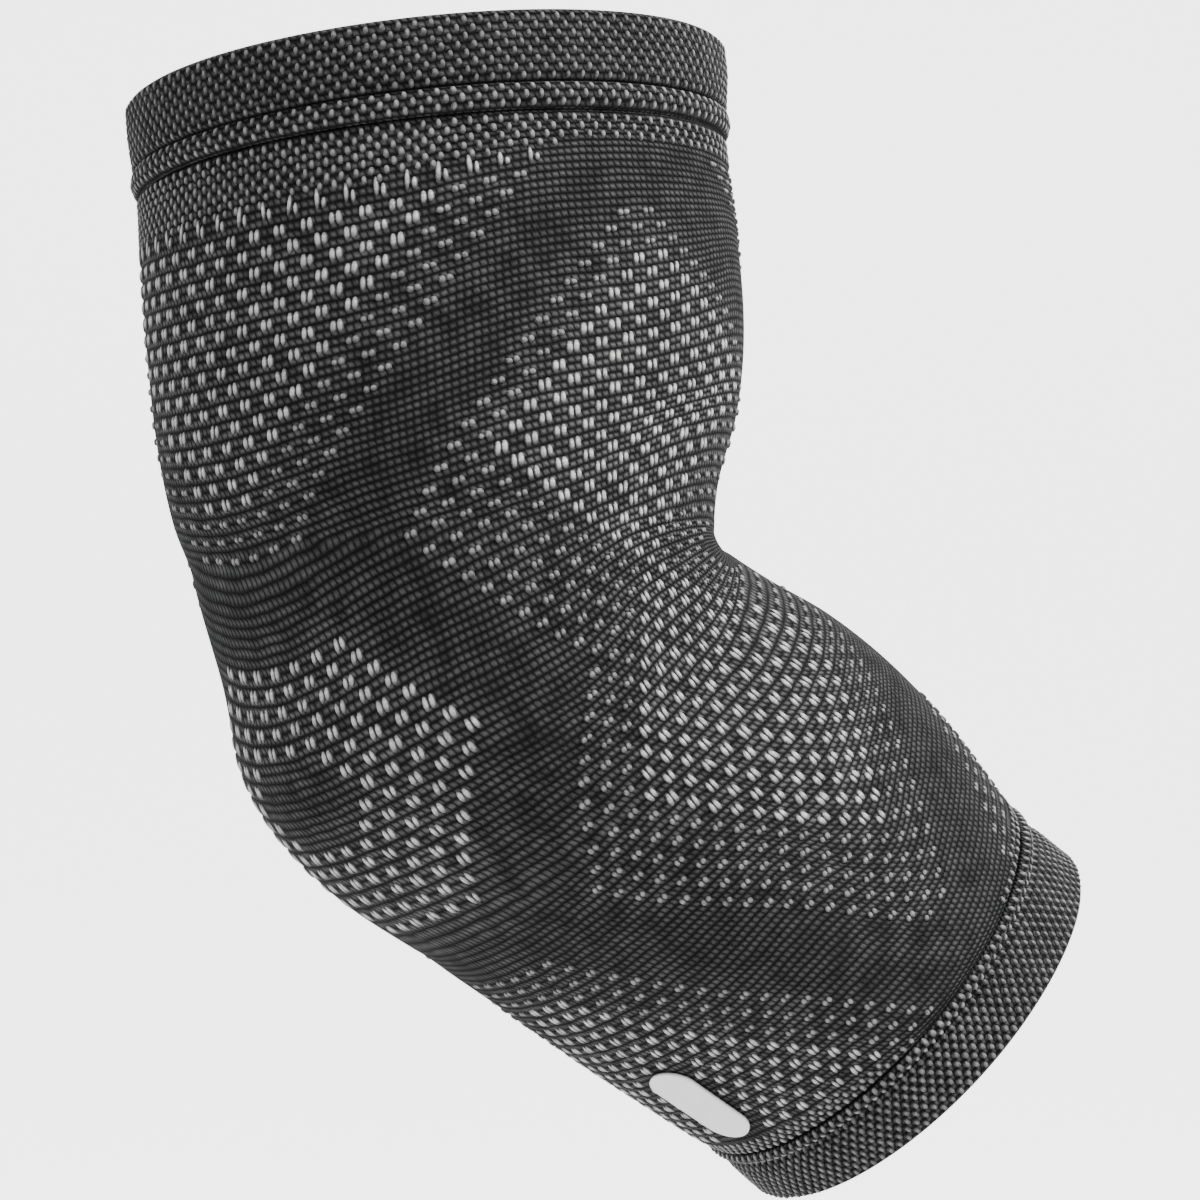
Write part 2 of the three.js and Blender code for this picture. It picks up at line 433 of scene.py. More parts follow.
def math_node(tree, operation, first, second=None, third=None):
    """A Math node whose inputs are sockets or plain numbers."""
    node = tree.nodes.new("ShaderNodeMath")
    node.operation = operation
    for socket, value in zip(node.inputs, (first, second, third)):
        if isinstance(value, (int, float)):
            socket.default_value = value
        elif value is not None:
            tree.links.new(value, socket)
    return node.outputs[0]


def noise(tree, coordinates, scale, detail=0.0):
    """A noise texture's value."""
    node = tree.nodes.new("ShaderNodeTexNoise")
    node.inputs["Scale"].default_value = scale
    node.inputs["Detail"].default_value = detail
    tree.links.new(coordinates, node.inputs["Vector"])
    return node.outputs["Fac"]


# A Mix node has an A, a B and a result for each kind of value. These are the colour ones.
MIX_COLOR_A, MIX_COLOR_B, MIX_COLOR_RESULT = 6, 7, 2


def mixed(tree, factor, low, high):
    """A colour between two sockets or colours."""
    node = tree.nodes.new("ShaderNodeMix")
    node.data_type = "RGBA"
    tree.links.new(factor, node.inputs["Factor"])
    for index, value in ((MIX_COLOR_A, low), (MIX_COLOR_B, high)):
        if isinstance(value, tuple):
            node.inputs[index].default_value = (*value, 1)
        else:
            tree.links.new(value, node.inputs[index])
    return node.outputs[MIX_COLOR_RESULT]


def humps(tree, value):
    """One rounded hump for each whole number."""
    turned = math_node(tree, "MULTIPLY", value, math.pi)
    return math_node(tree, "ABSOLUTE", math_node(tree, "SINE", turned))


# %% Fibres, for every yarn
FLOAT, COLOR, VECTOR = "NodeSocketFloat", "NodeSocketColor", "NodeSocketVector"
fibre_group, fibre_in, fibre_out = new_group(
    "yarn_fibres",
    [("Vector", VECTOR), ("Color", COLOR), ("Depth", FLOAT)],
    [("Color", COLOR), ("Height", FLOAT)],
)
fibre_scale = 2600
patch_scale = 350
fibre_share = 0.6
fibre_contrast = 2.0
darkest_fibre = 0.05
fine = noise(fibre_group, fibre_in.outputs["Vector"], fibre_scale, 1)
patches = noise(fibre_group, fibre_in.outputs["Vector"], patch_scale)
uneven = math_node(fibre_group, "ADD",
                   math_node(fibre_group, "MULTIPLY", fine, fibre_share),
                   math_node(fibre_group, "MULTIPLY", patches, 1 - fibre_share))
strength = math_node(fibre_group, "MULTIPLY_ADD", uneven, fibre_contrast, darkest_fibre)
tint = fibre_group.nodes.new("ShaderNodeVectorMath")
tint.operation = "SCALE"
fibre_group.links.new(fibre_in.outputs["Color"], tint.inputs[0])
fibre_group.links.new(strength, tint.inputs["Scale"])
fibre_group.links.new(tint.outputs["Vector"], fibre_out.inputs["Color"])
fibre_group.links.new(math_node(fibre_group, "MULTIPLY", fine, fibre_in.outputs["Depth"]),
                      fibre_out.inputs["Height"])

# %% [markdown]
# A loop's colour is painted with light and shade: painted light on its crown, and painted
# shade where it dives into the knit, most of all at its lower end.

# %% Painted light and shade on a loop, for the light yarns
crown_sharpness = 2.2
upper_end_light = 1.35
light_fall = -1.2
# The painted shade where a loop dives into the knit.
sunk_loop_shade = (0.04, 0.04, 0.04)
loop_shade_group, crown_in, crown_out = new_group(
    "painted_loop_shade", [("Grain", VECTOR), ("Color", COLOR)], [("Color", COLOR)])
grain_split = loop_shade_group.nodes.new("ShaderNodeSeparateXYZ")
loop_shade_group.links.new(crown_in.outputs["Grain"], grain_split.inputs[0])
lift = loop_shade_group.nodes.new("ShaderNodeMapRange")
lift.inputs["From Min"].default_value = 0.5
lift.inputs["From Max"].default_value = 1.0
loop_shade_group.links.new(grain_split.outputs["Y"], lift.inputs["Value"])
# Painted light, strongest at the loop's upper end and fading towards its lower end.
upper_end = math_node(loop_shade_group, "MULTIPLY_ADD", grain_split.outputs["X"], light_fall,
                      upper_end_light)
peak = math_node(loop_shade_group, "POWER", lift.outputs["Result"], crown_sharpness)
lit = math_node(loop_shade_group, "MULTIPLY", peak, upper_end)
loop_shade_group.links.new(mixed(loop_shade_group, lit, sunk_loop_shade, crown_in.outputs["Color"]),
                      crown_out.inputs["Color"])

# %% Stitch bumps, with painted shade between them, for the dark ground
wobble_scale = 260
wobble_reach = 0.3
stitch_slant = 0.4
side_steepness = 0.45
gap_sharpness = 1.6
wobble_contrast = 1.4
wobble_darkest = 0.3
# The painted shade between stitches, and the colour on their crowns, where the knit is grey.
grey_gap_shade = (0.01, 0.01, 0.01)
grey_crown = (0.11, 0.11, 0.11)
ground_group, ground_in, ground_out = new_group(
    "knit_ground",
    [("Stitch", VECTOR), ("Vector", VECTOR), ("Grey", FLOAT), ("Gap_shade", COLOR),
     ("Crown", COLOR)],
    [("Color", COLOR), ("Height", FLOAT)],
)
split = ground_group.nodes.new("ShaderNodeSeparateXYZ")
ground_group.links.new(ground_in.outputs["Stitch"], split.inputs[0])
wobble = noise(ground_group, ground_in.outputs["Vector"], wobble_scale)
wobbled = [
    math_node(ground_group, "ADD", split.outputs[axis],
              math_node(ground_group, "MULTIPLY_ADD", wobble, wobble_reach, -wobble_reach / 2))
    for axis in (0, 1)
]
slant = math_node(ground_group, "MULTIPLY_ADD",
                  math_node(ground_group, "FRACT", wobbled[1]), stitch_slant, wobbled[0])
across = math_node(ground_group, "POWER", humps(ground_group, slant), side_steepness)
crown = math_node(ground_group, "MULTIPLY", across, humps(ground_group, wobbled[1]))
# The painted shade: darkest in the gaps between stitch bumps, lightest on their crowns, made
# uneven by the wobble.
shade = math_node(ground_group, "MULTIPLY",
                  math_node(ground_group, "POWER", crown, gap_sharpness),
                  math_node(ground_group, "MULTIPLY_ADD", wobble, wobble_contrast,
                            wobble_darkest))
plain_knit = mixed(ground_group, shade, ground_in.outputs["Gap_shade"],
                   ground_in.outputs["Crown"])
grey_knit = mixed(ground_group, shade, grey_gap_shade, grey_crown)
ground_group.links.new(
    mixed(ground_group, ground_in.outputs["Grey"], plain_knit, grey_knit),
    ground_out.inputs["Color"])
ground_group.links.new(crown, ground_out.inputs["Height"])


# %% Yarn and film materials
def placed_group(tree, group, links, values):
    """A group node in a material, with its links and values."""
    node = tree.nodes.new("ShaderNodeGroup")
    node.node_tree = group
    for name, socket in links.items():
        tree.links.new(socket, node.inputs[name])
    for name, value in values.items():
        node.inputs[name].default_value = value
    return node


def bumped(tree, shader, height, distance):
    """Feeds a height to the shader's normal."""
    node = tree.nodes.new("ShaderNodeBump")
    node.inputs["Distance"].default_value = distance
    tree.links.new(height, node.inputs["Height"])
    tree.links.new(node.outputs["Normal"], shader.inputs["Normal"])


def new_material(name, roughness):
    """A material, its tree and its shader."""
    material = bpy.data.materials.new(name)
    material.use_nodes = True
    shader = material.node_tree.nodes["Principled BSDF"]
    shader.inputs["Roughness"].default_value = roughness
    return material, material.node_tree, shader


# The knit's colour in the gaps between stitches, which is painted shade.
knit_gap_shade = (0.006, 0.006, 0.0063)
knit_depth = 0.8 * MM
yarn_depth = 0.25 * MM
film_depth = 0.1 * MM
film_mottle_scale = 400


def knit_material(name, crown_color):
    """Dark knit: a bump for each stitch, with painted shade between the bumps and fibres over it.
    """
    material, tree, shader = new_material(name, 0.92)
    shader.inputs["Specular IOR Level"].default_value = 0.08
    shader.inputs["Sheen Weight"].default_value = 0.02
    shader.inputs["Sheen Roughness"].default_value = 0.4
    stitch = tree.nodes.new("ShaderNodeUVMap")
    stitch.uv_map = "stitches"
    position = tree.nodes.new("ShaderNodeTexCoord").outputs["Object"]
    share = tree.nodes.new("ShaderNodeAttribute")
    share.attribute_name = "grey_share"
    ground = placed_group(tree, ground_group,
                          {"Stitch": stitch.outputs["UV"], "Vector": position,
                           "Grey": share.outputs["Fac"]},
                          {"Gap_shade": (*knit_gap_shade, 1), "Crown": (*crown_color, 1)})
    fibres = placed_group(tree, fibre_group,
                          {"Vector": position, "Color": ground.outputs["Color"]},
                          {"Depth": 0.18})
    tree.links.new(fibres.outputs["Color"], shader.inputs["Base Color"])
    height = math_node(tree, "ADD", ground.outputs["Height"], fibres.outputs["Height"])
    bumped(tree, shader, height, knit_depth)
    return material


def yarn_material(name, color):
    """Light yarn: painted light on its crown and painted shade at its ends, with fibres over it.
    """
    material, tree, shader = new_material(name, 0.85)
    shader.inputs["Specular IOR Level"].default_value = 0.25
    shader.inputs["Sheen Weight"].default_value = 0.2
    position = tree.nodes.new("ShaderNodeTexCoord").outputs["Object"]
    grain = tree.nodes.new("ShaderNodeUVMap")
    grain.uv_map = "grain"
    crown_color = placed_group(tree, loop_shade_group, {"Grain": grain.outputs["UV"]},
                               {"Color": (*color, 1)}).outputs["Color"]
    fibres = placed_group(tree, fibre_group, {"Vector": position, "Color": crown_color},
                          {"Depth": 1.0})
    tree.links.new(fibres.outputs["Color"], shader.inputs["Base Color"])
    bumped(tree, shader, fibres.outputs["Height"], yarn_depth)
    return material


def film_material():
    """Satin white film, faintly mottled, with a little of the yarn's unevenness."""
    material, tree, shader = new_material("film", 0.5)
    position = tree.nodes.new("ShaderNodeTexCoord").outputs["Object"]
    fibres = placed_group(tree, fibre_group, {"Vector": position}, {"Depth": 0.3})
    mottle = noise(tree, position, film_mottle_scale)
    pale = mixed(tree, mottle, (0.88, 0.88, 0.87), (0.94, 0.94, 0.93))
    tree.links.new(pale, shader.inputs["Base Color"])
    bumped(tree, shader, fibres.outputs["Height"], film_depth)
    return material


body_knit = knit_material("body_knit", (0.062, 0.062, 0.064))
cuff_knit = knit_material("cuff_knit", (0.07, 0.07, 0.072))
light_yarn = yarn_material("light_yarn", (0.92, 0.92, 0.91))
soft_yarn = yarn_material("soft_yarn", (0.42, 0.42, 0.42))
# A darker copy of the light yarn, as painted shade on the deep dots of the plain bands.
shaded_band_yarn = yarn_material("shaded_band_yarn", (0.28, 0.28, 0.28))
film = film_material()
print("Materials:", [m.name for m in (body_knit, cuff_knit, light_yarn, soft_yarn,
                                     shaded_band_yarn, film)])


# %% [markdown]
# ## The wall of the tube
# A flat grid has one square for each stitch. Each point is moved to its place on the arm,
# and the two long edges are merged into a closed tube. Its UV map counts stitches, which is
# what the ground shader reads. A Solidify modifier then gives the knit its thickness
# inwards, so the outer face keeps the size of the frame.

# %% Wrapping a grid round the arm
def wrapped_grid(name, columns, rows, place_point, stitch_counts, grey_at=None):
    """A grid wrapped into a tube. place_point takes shares round and along, from 0 to 1."""
    shape = bmesh.new()
    stitches = shape.loops.layers.uv.new("stitches")
    bmesh.ops.create_grid(shape, x_segments=columns, y_segments=rows, size=0.5)
    shares = np.array([(v.co.x + 0.5, v.co.y + 0.5) for v in shape.verts])
    for face in shape.faces:
        for loop in face.loops:
            across_share, along_share = shares[loop.vert.index]
            loop[stitches].uv = (across_share * stitch_counts[0], along_share * stitch_counts[1])
    for vert, point in zip(shape.verts, place_point(shares[:, 0], shares[:, 1])):
        vert.co = point
    if grey_at:
        grey = shape.verts.layers.float.new("grey_share")
        for vert, share in zip(shape.verts, grey_at(shares[:, 0], shares[:, 1])):
            vert[grey] = share
    return shape


def close_tube(shape, closed_profile=False):
    """Merges the long edges and turns the faces outwards."""
    bmesh.ops.remove_doubles(shape, verts=shape.verts, dist=0.01 * MM)
    bmesh.ops.recalc_face_normals(shape, faces=shape.faces)
    if not closed_profile:
        face = max(shape.faces, key=lambda f: f.calc_center_median().y)
        if face.normal.y < 0:
            bmesh.ops.reverse_faces(shape, faces=shape.faces)


def finished(name, shape, material, node):
    """A smooth object from a bmesh, declared to the frame."""
    mesh = bpy.data.meshes.new(name)
    for face in shape.faces:
        face.smooth = True
    shape.to_mesh(mesh)
    shape.free()
    mesh.materials.append(material)
    piece = bpy.data.objects.new(name, mesh)
    bpy.context.collection.objects.link(piece)
    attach(piece, "root")
    if node:
        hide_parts(node)
    print(name, "has", len(mesh.polygons), "faces")
    return piece


# %% The body
body_top_row = -4
body_bottom_row = 63
end_margin_rows = 0.12
end_tuck_rows = 0.8
upper_tuck_depth = 1.4
lower_tuck_depth = 0.6


def body_point(around_share, along_share):
    """The body's outer face, whose ends tuck into the grooves of the hems."""
    row = body_row(along_share)
    column = (around_share - 0.5) * columns_round
    upper_tuck = np.clip(1 - (row - body_top_row) / end_tuck_rows, 0, 1) ** 2
    lower_tuck = np.clip(1 - (body_bottom_row - row) / end_tuck_rows, 0, 1) ** 2
    return knit_point(column, row,
                      -upper_tuck_depth * upper_tuck - lower_tuck_depth * lower_tuck)


def body_row(along_share):
    """The row at a share of the body's length."""
    rows = body_bottom_row - body_top_row - 2 * end_margin_rows
    return body_top_row + end_margin_rows + along_share * rows


def body_grey(around_share, along_share):
    """How grey the body's knit is."""
    return grey_share((around_share - 0.5) * columns_round, body_row(along_share))


stitches_round = 2 * columns_round
body_courses = 2 * (body_bottom_row - body_top_row)
body_shape = wrapped_grid("sleeve", stitches_round, body_courses, body_point,
                          (stitches_round, body_courses), body_grey)
close_tube(body_shape)
sleeve = finished("sleeve_knit", body_shape, body_knit, "sleeve_body")
wall = sleeve.modifiers.new("wall", "SOLIDIFY")
wall.thickness = body_wall * MM
wall.offset = -1

# %% [markdown]
# ## The hems
# Each hem is knitted twice as long and folded in, so it is thicker and ends in a soft round
# rim. Where the fold is knitted shut, a raised ridge runs between two grooves. The profile of
# that wall is swept round the arm, inner face included, as a closed loop.

# %% Profile of a hem
course_height = 1.33
rim_steps = 9
band_steps = 7
crest_steps = 9
groove_start = 0.9
groove_middle = 0.35
crest_fullness = 0.5


def rim_curve():
    """The rounded rim, from the inner face to the outer one."""
    angles = np.linspace(0, math.pi, rim_steps)
    middle = cuff_wall / 2
    return [(rim_rounding * (1 - math.sin(a)), -middle - middle * math.cos(a)) for a in angles]


def outer_face(length, ridge):
    """The plain band, the groove and the ridge, from the rim on."""
    band = length - ridge
    plain_band = [(share * (band - groove_start), 0) for share in np.linspace(0.2, 1, band_steps)]
    groove = [(band - groove_middle, -0.45 * groove_depth), (band, -groove_depth)]
    crest = [
        (band + ridge * share, -groove_depth + (ridge_rise + groove_depth)
         * math.sin(math.pi * share) ** crest_fullness)
        for share in np.linspace(0.06, 0.94, crest_steps)
    ]
    return plain_band + groove + crest


def hem_profile(length, ridge):
    """Points as (distance from the rim, outset), from the inner face over the rim and down."""
    end = [(length, -groove_depth), (length, -cuff_wall)]
    inner = [(length * share, -cuff_wall) for share in (0.8, 0.6, 0.4, 0.25)]
    return rim_curve() + outer_face(length, ridge) + end + inner


# %% The two hems
def hem(name, rim, away, length, ridge, node):
    """A folded hem. Away is +1 where the rim is the start of the line, -1 where it ends it."""
    profile = np.array(hem_profile(length, ridge))
    profile = np.vstack([profile, profile[:1]])

    def hem_point(around_share, along_share):
        step = np.rint(along_share * (len(profile) - 1)).astype(int)
        place = rim + away * profile[step, 0]
        return sleeve_point(place, around_share * 360, profile[step, 1])

    lengths = np.linalg.norm(np.diff(profile, axis=0), axis=1)
    courses = np.concatenate([[0], np.cumsum(lengths)]) / course_height
    shape = wrapped_grid(name, stitches_round, len(profile) - 1, hem_point,
                         (stitches_round, len(profile) - 1))
    stitches = shape.loops.layers.uv["stitches"]
    for face in shape.faces:
        for loop in face.loops:
            step = int(round(loop[stitches].uv.y))
            loop[stitches].uv.y = courses[step]
    close_tube(shape, closed_profile=True)
    return finished(name, shape, cuff_knit, node)


upper_hem = hem("upper_hem", upper_rim, 1, upper_cuff_length, upper_ridge_length, "upper_cuff")
lower_hem = hem("lower_hem", lower_rim, -1, lower_cuff_length, lower_ridge_length, "lower_cuff")

# %% [markdown]
# ## The light stitches
# Light yarn shows where a loop comes to the front. One loop is a small rounded grain, lying
# along its wale. It is modelled once with few faces, because thousands of copies follow. The
# copies of each zone are joined into one mesh. Each is turned to the wall below it, and a
# charted one is sized by the spacing of rows and columns there, as real loops stretch.

# %% One loop of yarn
def from_lowest(corners):
    """The same ring of corners, begun at its lowest index."""
    start = corners.index(min(corners))
    return corners[start:] + corners[:start]


def loop_template():
    """A grain of unit size: x across, y along, z out. Returns points and faces."""
    shape = bmesh.new()
    bmesh.ops.create_uvsphere(shape, u_segments=6, v_segments=5, radius=0.5,
                              matrix=Matrix.Rotation(math.radians(30), 4, "Z"))
    turned = [(v.co.x, v.co.z, -v.co.y) for v in shape.verts]
    # The operator's order of faces varies from run to run, so they are sorted.
    faces = sorted(from_lowest([v.index for v in face.verts]) for face in shape.faces)
    shape.free()
    return np.array(turned), faces


grain_points, grain_faces = loop_template()
print("A loop has", len(grain_faces), "faces")


def joined_loops(name, centres, across, along, out, material):
    """One mesh of many loops. Each has a centre and three axes, with their lengths."""
    count = len(centres)
    axes = np.stack([across, along, out], axis=1)
    points = centres[:, None, :] + np.einsum("pk,nkc->npc", grain_points, axes)
    offsets = np.arange(count) * len(grain_points)
    faces = [[index + offset for index in face] for offset in offsets for face in grain_faces]
    mesh = bpy.data.meshes.new(name)
    mesh.from_pydata(points.reshape(-1, 3), [], faces)
    corners = np.empty(len(mesh.loops), np.int32)
    mesh.loops.foreach_get("vertex_index", corners)
    grain = grain_points[corners % len(grain_points)][:, (1, 2)] + 0.5
    mesh.uv_layers.new(name="grain").data.foreach_set("uv", grain.ravel())
    shape = bmesh.new()
    shape.from_mesh(mesh)
    bmesh.ops.recalc_face_normals(shape, faces=shape.faces)
    bpy.data.meshes.remove(mesh)
    return finished(name, shape, material, None)


def unit(vectors):
    """The vectors at length one, and their lengths."""
    lengths = np.linalg.norm(vectors, axis=1, keepdims=True)
    return vectors / lengths, lengths[:, 0]


# %% Laying loops on the wall
chance = np.random.default_rng(7)
loop_width_share = 0.95
loop_rise = 0.75
raised_share = 0.04
lean_spread_degrees = 5
size_spread = 0.07
probe_step = 0.2


def lay_loops(name, point_at, first, second, width, length, material):
    """Loops at chart coordinates. point_at(first, second) gives points on the wall."""
    step = probe_step
    centre = point_at(first, second)
    round_axis, _ = unit(point_at(first + step, second) - point_at(first - step, second))
    down_axis, _ = unit(point_at(first, second + step) - point_at(first, second - step))
    out_axis, _ = unit(np.cross(down_axis, round_axis))
    outward = np.einsum("nc,nc->n", out_axis, centre - arm_centre(centre))
    out_axis *= np.sign(outward)[:, None]
    angle = np.radians(chance.normal(0, lean_spread_degrees, len(centre)))[:, None]
    along_axis = down_axis * np.cos(angle) + round_axis * np.sin(angle)
    across_axis, _ = unit(np.cross(out_axis, along_axis))
    vary = chance.normal(1, size_spread, (len(centre), 3))
    rise = loop_rise * MM * vary[:, :1]
    centre = centre + out_axis * rise * raised_share
    return joined_loops(
        name, centre,
        across_axis * (width * vary[:, 1])[:, None] * MM,
        along_axis * (length * vary[:, 2])[:, None] * MM,
        out_axis * rise, material)


def arm_centre(points):
    """A point on the centre line near each point, which tells inwards from outwards."""
    places = np.linspace(upper_rim, lower_rim, 60)
    line = (sleeve_point(places, 0, 0) + sleeve_point(places, 180, 0)) / 2
    nearest = np.argmin(np.linalg.norm(points[:, None] - line[None], axis=2), axis=1)
    return line[nearest]


def on_body(column, row):
    """Points on the body's outer face."""
    return knit_point(column, row, 0)


def row_height(column, row):
    """The height of a row on the wall, in millimetres."""
    return unit(on_body(column, row + 0.5) - on_body(column, row - 0.5))[1] / MM


def wale_width(column, row):
    """The width of a stitch on the wall, in millimetres."""
    return unit(on_body(column + 0.25, row) - on_body(column - 0.25, row))[1] / MM


# %% Large and small stitches
half_wale = 0.23
middle_row = 30

# The loop's length as a share of its row, then its shortest and longest length.
large_loop = (0.78, 1.0, 2.6)
small_loop = (0.42, 0.8, 1.3)


def pairs(spots):
    """Left and right loops of the charted spots, as arrays of columns and rows."""
    table = np.array(spots, float)
    left = table + (half_wale, 0)
    right = table - (half_wale, 0)
    return left, right


def lay_pairs(name, spots, loop_size, material):
    """Both loops of each charted stitch."""
    length_share, shortest, longest = loop_size
    left, right = pairs(spots)
    table = np.vstack([left, right])
    length = np.clip(length_share * row_height(table[:, 0], table[:, 1]), shortest, longest)
    width = loop_width_share * wale_width(table[:, 0], table[:, 1])
    return lay_loops(name, on_body, table[:, 0], table[:, 1], width, length, material)


large_up = [spot for spot in stitch_spots[LARGE] if spot[1] <= middle_row]
large_down = [spot for spot in stitch_spots[LARGE] if spot[1] > middle_row]
stitch_pieces = [
    lay_pairs("large_stitches_upper", large_up, large_loop, light_yarn),
    lay_pairs("large_stitches_lower", large_down, large_loop, light_yarn),
    lay_pairs("small_stitches", stitch_spots[SMALL], small_loop, soft_yarn),
]

# %% [markdown]
# The first row under the upper hem is drawn up into spikes: the left loop of each pair is
# long and reaches into the dots above, the right one is shorter.

# %% Spikes
spike_width_share = 0.72

# The left loop's length, the right loop's, and how far the left one is drawn up, in rows.
tall_spike = (3.4, 2.2, 0.28)
short_spike = (2.4, 1.2, 0.2)


def lay_spikes(name, spots, spike_size):
    """Long left loops, drawn up by a share of a row, and shorter right ones."""
    tall, short, rise = spike_size
    left, right = pairs(spots)
    left = left - (0, rise)
    table = np.vstack([left, right])
    length = np.repeat([tall, short], len(spots))
    width = spike_width_share * wale_width(table[:, 0], table[:, 1])
    return lay_loops(name, on_body, table[:, 0], table[:, 1], width, length, light_yarn)


stitch_pieces += [
    lay_spikes("tall_spikes", stitch_spots[TALL_SPIKE], tall_spike),
    lay_spikes("short_spikes", stitch_spots[SPIKE], short_spike),
]

# %% [markdown]
# The hems and the bands next to them are dotted: one short loop on every other stitch, with
# each course shifted by one. On the ridge they stand out brighter, because the fold pushes
# them up. On the plain band they lie deeper, and their yarn is painted darker as painted shade.

# %% Dots
dot_length = 1.4
dot_width = 1.0
band_shrink = 0.9
rim_to_dots = 1.4
dots_to_groove = 0.6
upper_ridge_shares = np.array([0.78, 0.5, 0.22])
lower_ridge_shares = np.array([0.3, 0.7])


def on_hem(rim, away, length, ridge):
    """A function that gives points on a hem's outer face, from the column and place."""
    profile = np.array([rim_curve()[-1], *outer_face(length, ridge)])
    order = np.argsort(profile[:, 0])

    def point_at(column, place):
        down = (np.asarray(place) - rim) * away
        outset = np.interp(down, profile[order, 0], profile[order, 1])
        return sleeve_point(place, column * column_turn, outset)

    return point_at


def dot_rows(places):
    """Columns and places of dots, each course shifted by half a column."""
    table = [
        (column + 0.5 * (course % 2), place)
        for course, place in enumerate(places)
        for column in range(columns_round)
    ]
    return np.array(table, float)


def lay_dots(name, point_at, table, material, shrink=1.0):
    """Dots at the columns and places of a table."""
    length = np.full(len(table), dot_length * shrink)
    width = np.full(len(table), dot_width * shrink)
    return lay_loops(name, point_at, table[:, 0], table[:, 1], width, length, material)


def on_sleeve(column, place):
    """Points on the body's outer face, from the column and the place."""
    return sleeve_point(place, column_at(column, place), 0)


upper_seam = upper_rim + upper_cuff_length
lower_seam = lower_rim - lower_cuff_length
upper_face = on_hem(upper_rim, 1, upper_cuff_length, upper_ridge_length)
lower_face = on_hem(lower_rim, -1, lower_cuff_length, lower_ridge_length)


def band_courses(length, ridge):
    """Distances from the rim of the courses on a hem's plain band."""
    return np.arange(rim_to_dots, length - ridge - dots_to_groove, course_height)


upper_band = upper_rim + band_courses(upper_cuff_length, upper_ridge_length)
upper_ridge = upper_seam - upper_ridge_length * upper_ridge_shares
lower_band = lower_rim - band_courses(lower_cuff_length, lower_ridge_length)
lower_ridge = lower_seam + lower_ridge_length * lower_ridge_shares
stitch_pieces += [
    lay_dots("upper_band_dots", upper_face, dot_rows(upper_band), shaded_band_yarn,
             band_shrink),
    lay_dots("upper_ridge_dots", upper_face, dot_rows(upper_ridge), soft_yarn),
    lay_dots("lower_band_dots", lower_face, dot_rows(lower_band), shaded_band_yarn,
             band_shrink),
    lay_dots("lower_ridge_dots", lower_face, dot_rows(lower_ridge), soft_yarn),
]

# %% [markdown]
# On the body, the dots fill the strip between each hem and the first charted row, which isn't
# straight. So the courses run on past it, and the dots that come too near it are left out.

# %% Dots on the body, next to the hems
dots_to_row = 1.9

# How far from the seam the first course lies, and where the last one may lie.
upper_strip = (1.5, 16)
lower_strip = (1.3, 9)

upper_dots = dot_rows(upper_seam + np.arange(*upper_strip, course_height))
upper_limit = row_place(0, upper_dots[:, 0]) - dots_to_row
upper_dots = upper_dots[upper_dots[:, 1] < upper_limit]
lower_dots = dot_rows(lower_seam - np.arange(*lower_strip, course_height))
lower_limit = row_place(last_row, lower_dots[:, 0]) + dots_to_row
lower_dots = lower_dots[lower_dots[:, 1] > lower_limit]
stitch_pieces += [
    lay_dots("upper_body_dots", on_sleeve, upper_dots, soft_yarn),
    lay_dots("lower_body_dots", on_sleeve, lower_dots, soft_yarn),
]

# %% [markdown]
# ## The film
# A thin heat-transfer film sits low on the forearm. It is a blank pill shape, cut from a
# grid so that it can bend with the arm, then given its thickness.

# %% Film
narrowest_end = 0.15


def film_outline(along):
    """Half the film's width at a distance from its middle, never quite nothing."""
    radius = film_width / 2
    into_end = np.maximum(np.abs(along) - (film_length / 2 - radius), 0)
    return np.sqrt(np.maximum(radius ** 2 - into_end ** 2, narrowest_end))


film_shape = bmesh.new()
bmesh.ops.create_grid(film_shape, x_segments=10, y_segments=28, size=0.5)
arm_radius = float(section_at(BACK, film_middle)[0])
for vert in film_shape.verts:
    along = -math.cos(math.pi * (vert.co.y + 0.5)) * film_length / 2
    offset = 2 * vert.co.x * film_outline(along)
    turn = film_turn + math.degrees(offset / arm_radius)
    vert.co = sleeve_point(film_middle + along, turn, film_clearance + film_thickness)[0]
bmesh.ops.recalc_face_normals(film_shape, faces=film_shape.faces)
if film_shape.faces[0].normal.z > 0:
    bmesh.ops.reverse_faces(film_shape, faces=film_shape.faces)
blank_film = finished("blank_film", film_shape, film, "transfer_film")
thickness = blank_film.modifiers.new("thickness", "SOLIDIFY")
thickness.thickness = film_thickness * MM
thickness.offset = -1

# %% [markdown]
# ## The cloth
# The brace is one stretched sheet. Unworn it lies flat and smaller: about 260 mm round and
# 170 mm long between the hems.

# %% [markdown]
# ## The studio
# A sweep of pale paper lies under the brace and curves up behind it, so the picture shows no
# horizon. The world is pale too, so the other sides are seen on a like tone. The part that
# stands behind the brace glows, as a lit background does in a catalogue studio. A large soft
# light stands high at the right, a weaker one fills from the left, and one from behind lifts
# the edges.

# %% Paper sweep, in metres
floor_drop = 0.2
sweep_width = 9.0
floor_length = 2.6
wall_height = 3.0
sweep_curve = 1.2
sweep_steps = 60


def sweep_profile(share):
    """How far back and how high the paper is, at a share of its length."""
    arc = sweep_curve * math.pi / 2
    walked = share * (2 * floor_length + arc + wall_height)
    if walked < 2 * floor_length:
        return walked - floor_length, 0.0
    walked -= 2 * floor_length
    angle = min(walked, arc) / sweep_curve
    rise = max(walked - arc, 0)
    back = floor_length + sweep_curve * math.sin(angle)
    return back, sweep_curve * (1 - math.cos(angle)) + rise


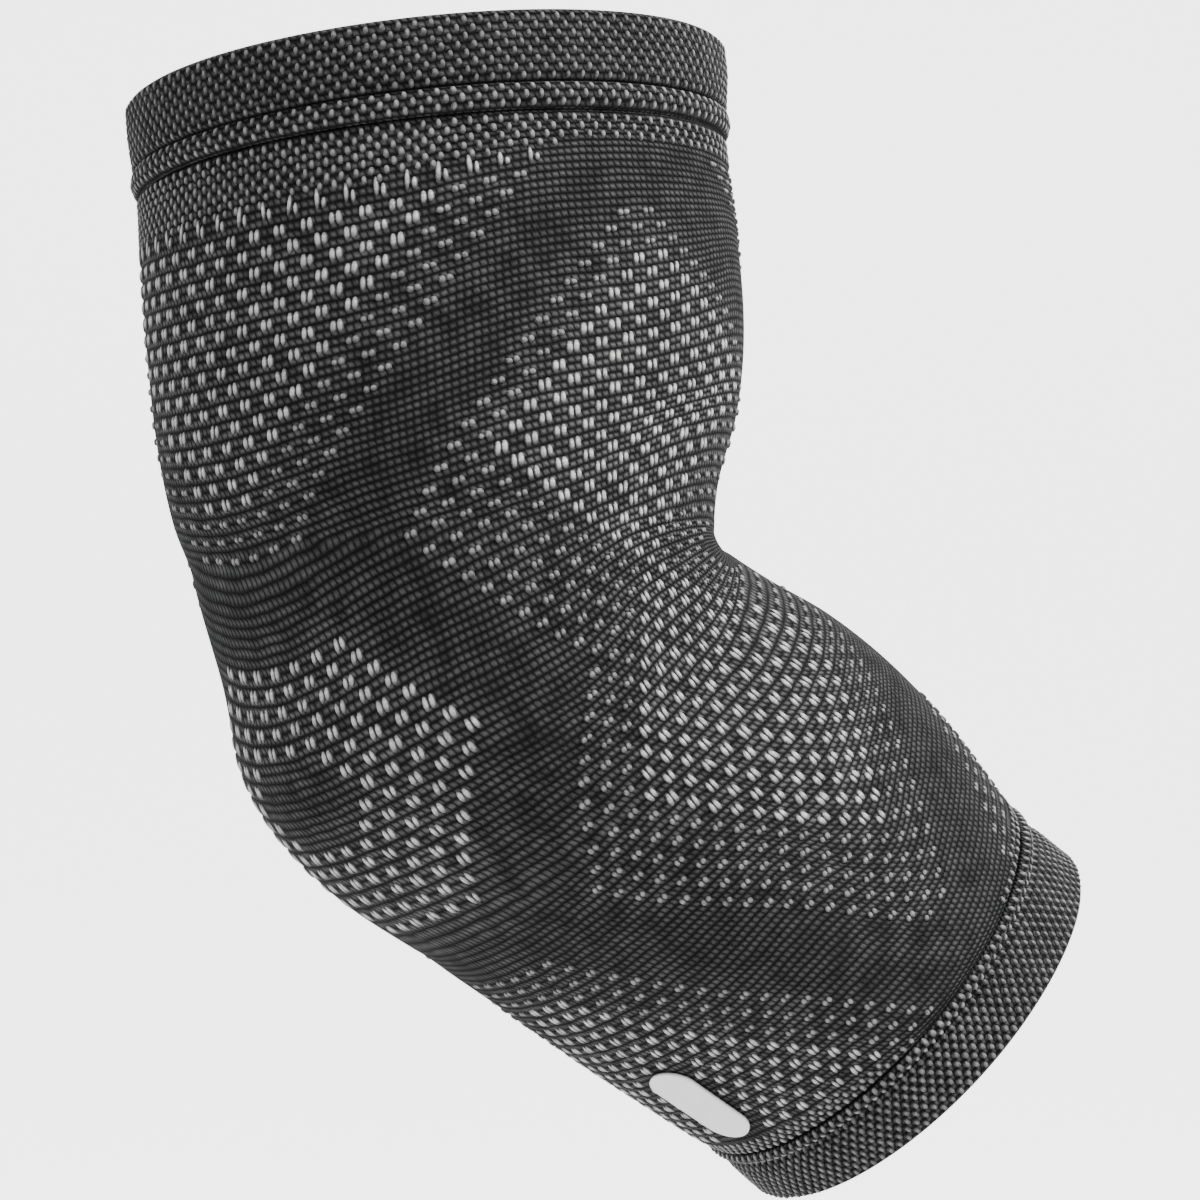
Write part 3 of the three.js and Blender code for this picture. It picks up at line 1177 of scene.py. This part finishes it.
sweep = bmesh.new()
bmesh.ops.create_grid(sweep, x_segments=2, y_segments=sweep_steps, size=0.5)
back_way = Vector((-to_camera.x, -to_camera.y, 0)).normalized()
for vert in sweep.verts:
    back, height = sweep_profile(vert.co.y + 0.5)
    sideways = vert.co.x * sweep_width
    vert.co = back_way * back + camera_right * sideways + Vector((0, 0, height - floor_drop))
for face in sweep.faces:
    face.smooth = True
sweep_mesh = bpy.data.meshes.new("paper_sweep")
sweep.to_mesh(sweep_mesh)
sweep.free()

# %% Glowing paper
paper, paper_tree, paper_shader = new_material("studio_paper", 0.95)
paper_shader.inputs["Base Color"].default_value = (0.7, 0.7, 0.7, 1)
paper_shader.inputs["Specular IOR Level"].default_value = 0.1

# The glow sets in just above the floor, and is whole at this height.
glow_start = 0.005
glow_end = 0.05
glow_strength = 3.1
paper_height = paper_tree.nodes.new("ShaderNodeSeparateXYZ")
paper_tree.links.new(paper_tree.nodes.new("ShaderNodeTexCoord").outputs["Object"],
                     paper_height.inputs[0])
glow = paper_tree.nodes.new("ShaderNodeMapRange")
glow.inputs["From Min"].default_value = glow_start - floor_drop
glow.inputs["From Max"].default_value = glow_end - floor_drop
paper_tree.links.new(paper_height.outputs["Z"], glow.inputs["Value"])
paper_tree.links.new(mixed(paper_tree, glow.outputs["Result"], (0, 0, 0), (1, 1, 1)),
                     paper_shader.inputs["Emission Color"])
paper_shader.inputs["Emission Strength"].default_value = glow_strength
sweep_mesh.materials.append(paper)
paper_sweep = bpy.data.objects.new("paper_sweep", sweep_mesh)
bpy.context.collection.objects.link(paper_sweep)


# %% Lights
def soft_light(name, position, size, power):
    """An area light aimed at the elbow."""
    data = bpy.data.lights.new(name, "AREA")
    data.shape = "DISK"
    data.size = size
    data.energy = power
    light = bpy.data.objects.new(name, data)
    light.location = position
    light.rotation_euler = Vector(position).to_track_quat("Z", "Y").to_euler()
    bpy.context.collection.objects.link(light)


soft_light("key", (0.9, -1.2, 2.1), 0.9, 132)
soft_light("fill", (-1.5, -1.0, 0.8), 1.2, 4)
soft_light("back", (0.4, 1.6, 1.4), 1.2, 20)
world = bpy.data.worlds.new("studio")
world.use_nodes = True
background = world.node_tree.nodes["Background"]
background.inputs["Color"].default_value = (1, 1, 1, 1)
background.inputs["Strength"].default_value = 0.5
bpy.context.scene.world = world
print("Lights:", sorted(light.name for light in bpy.data.lights))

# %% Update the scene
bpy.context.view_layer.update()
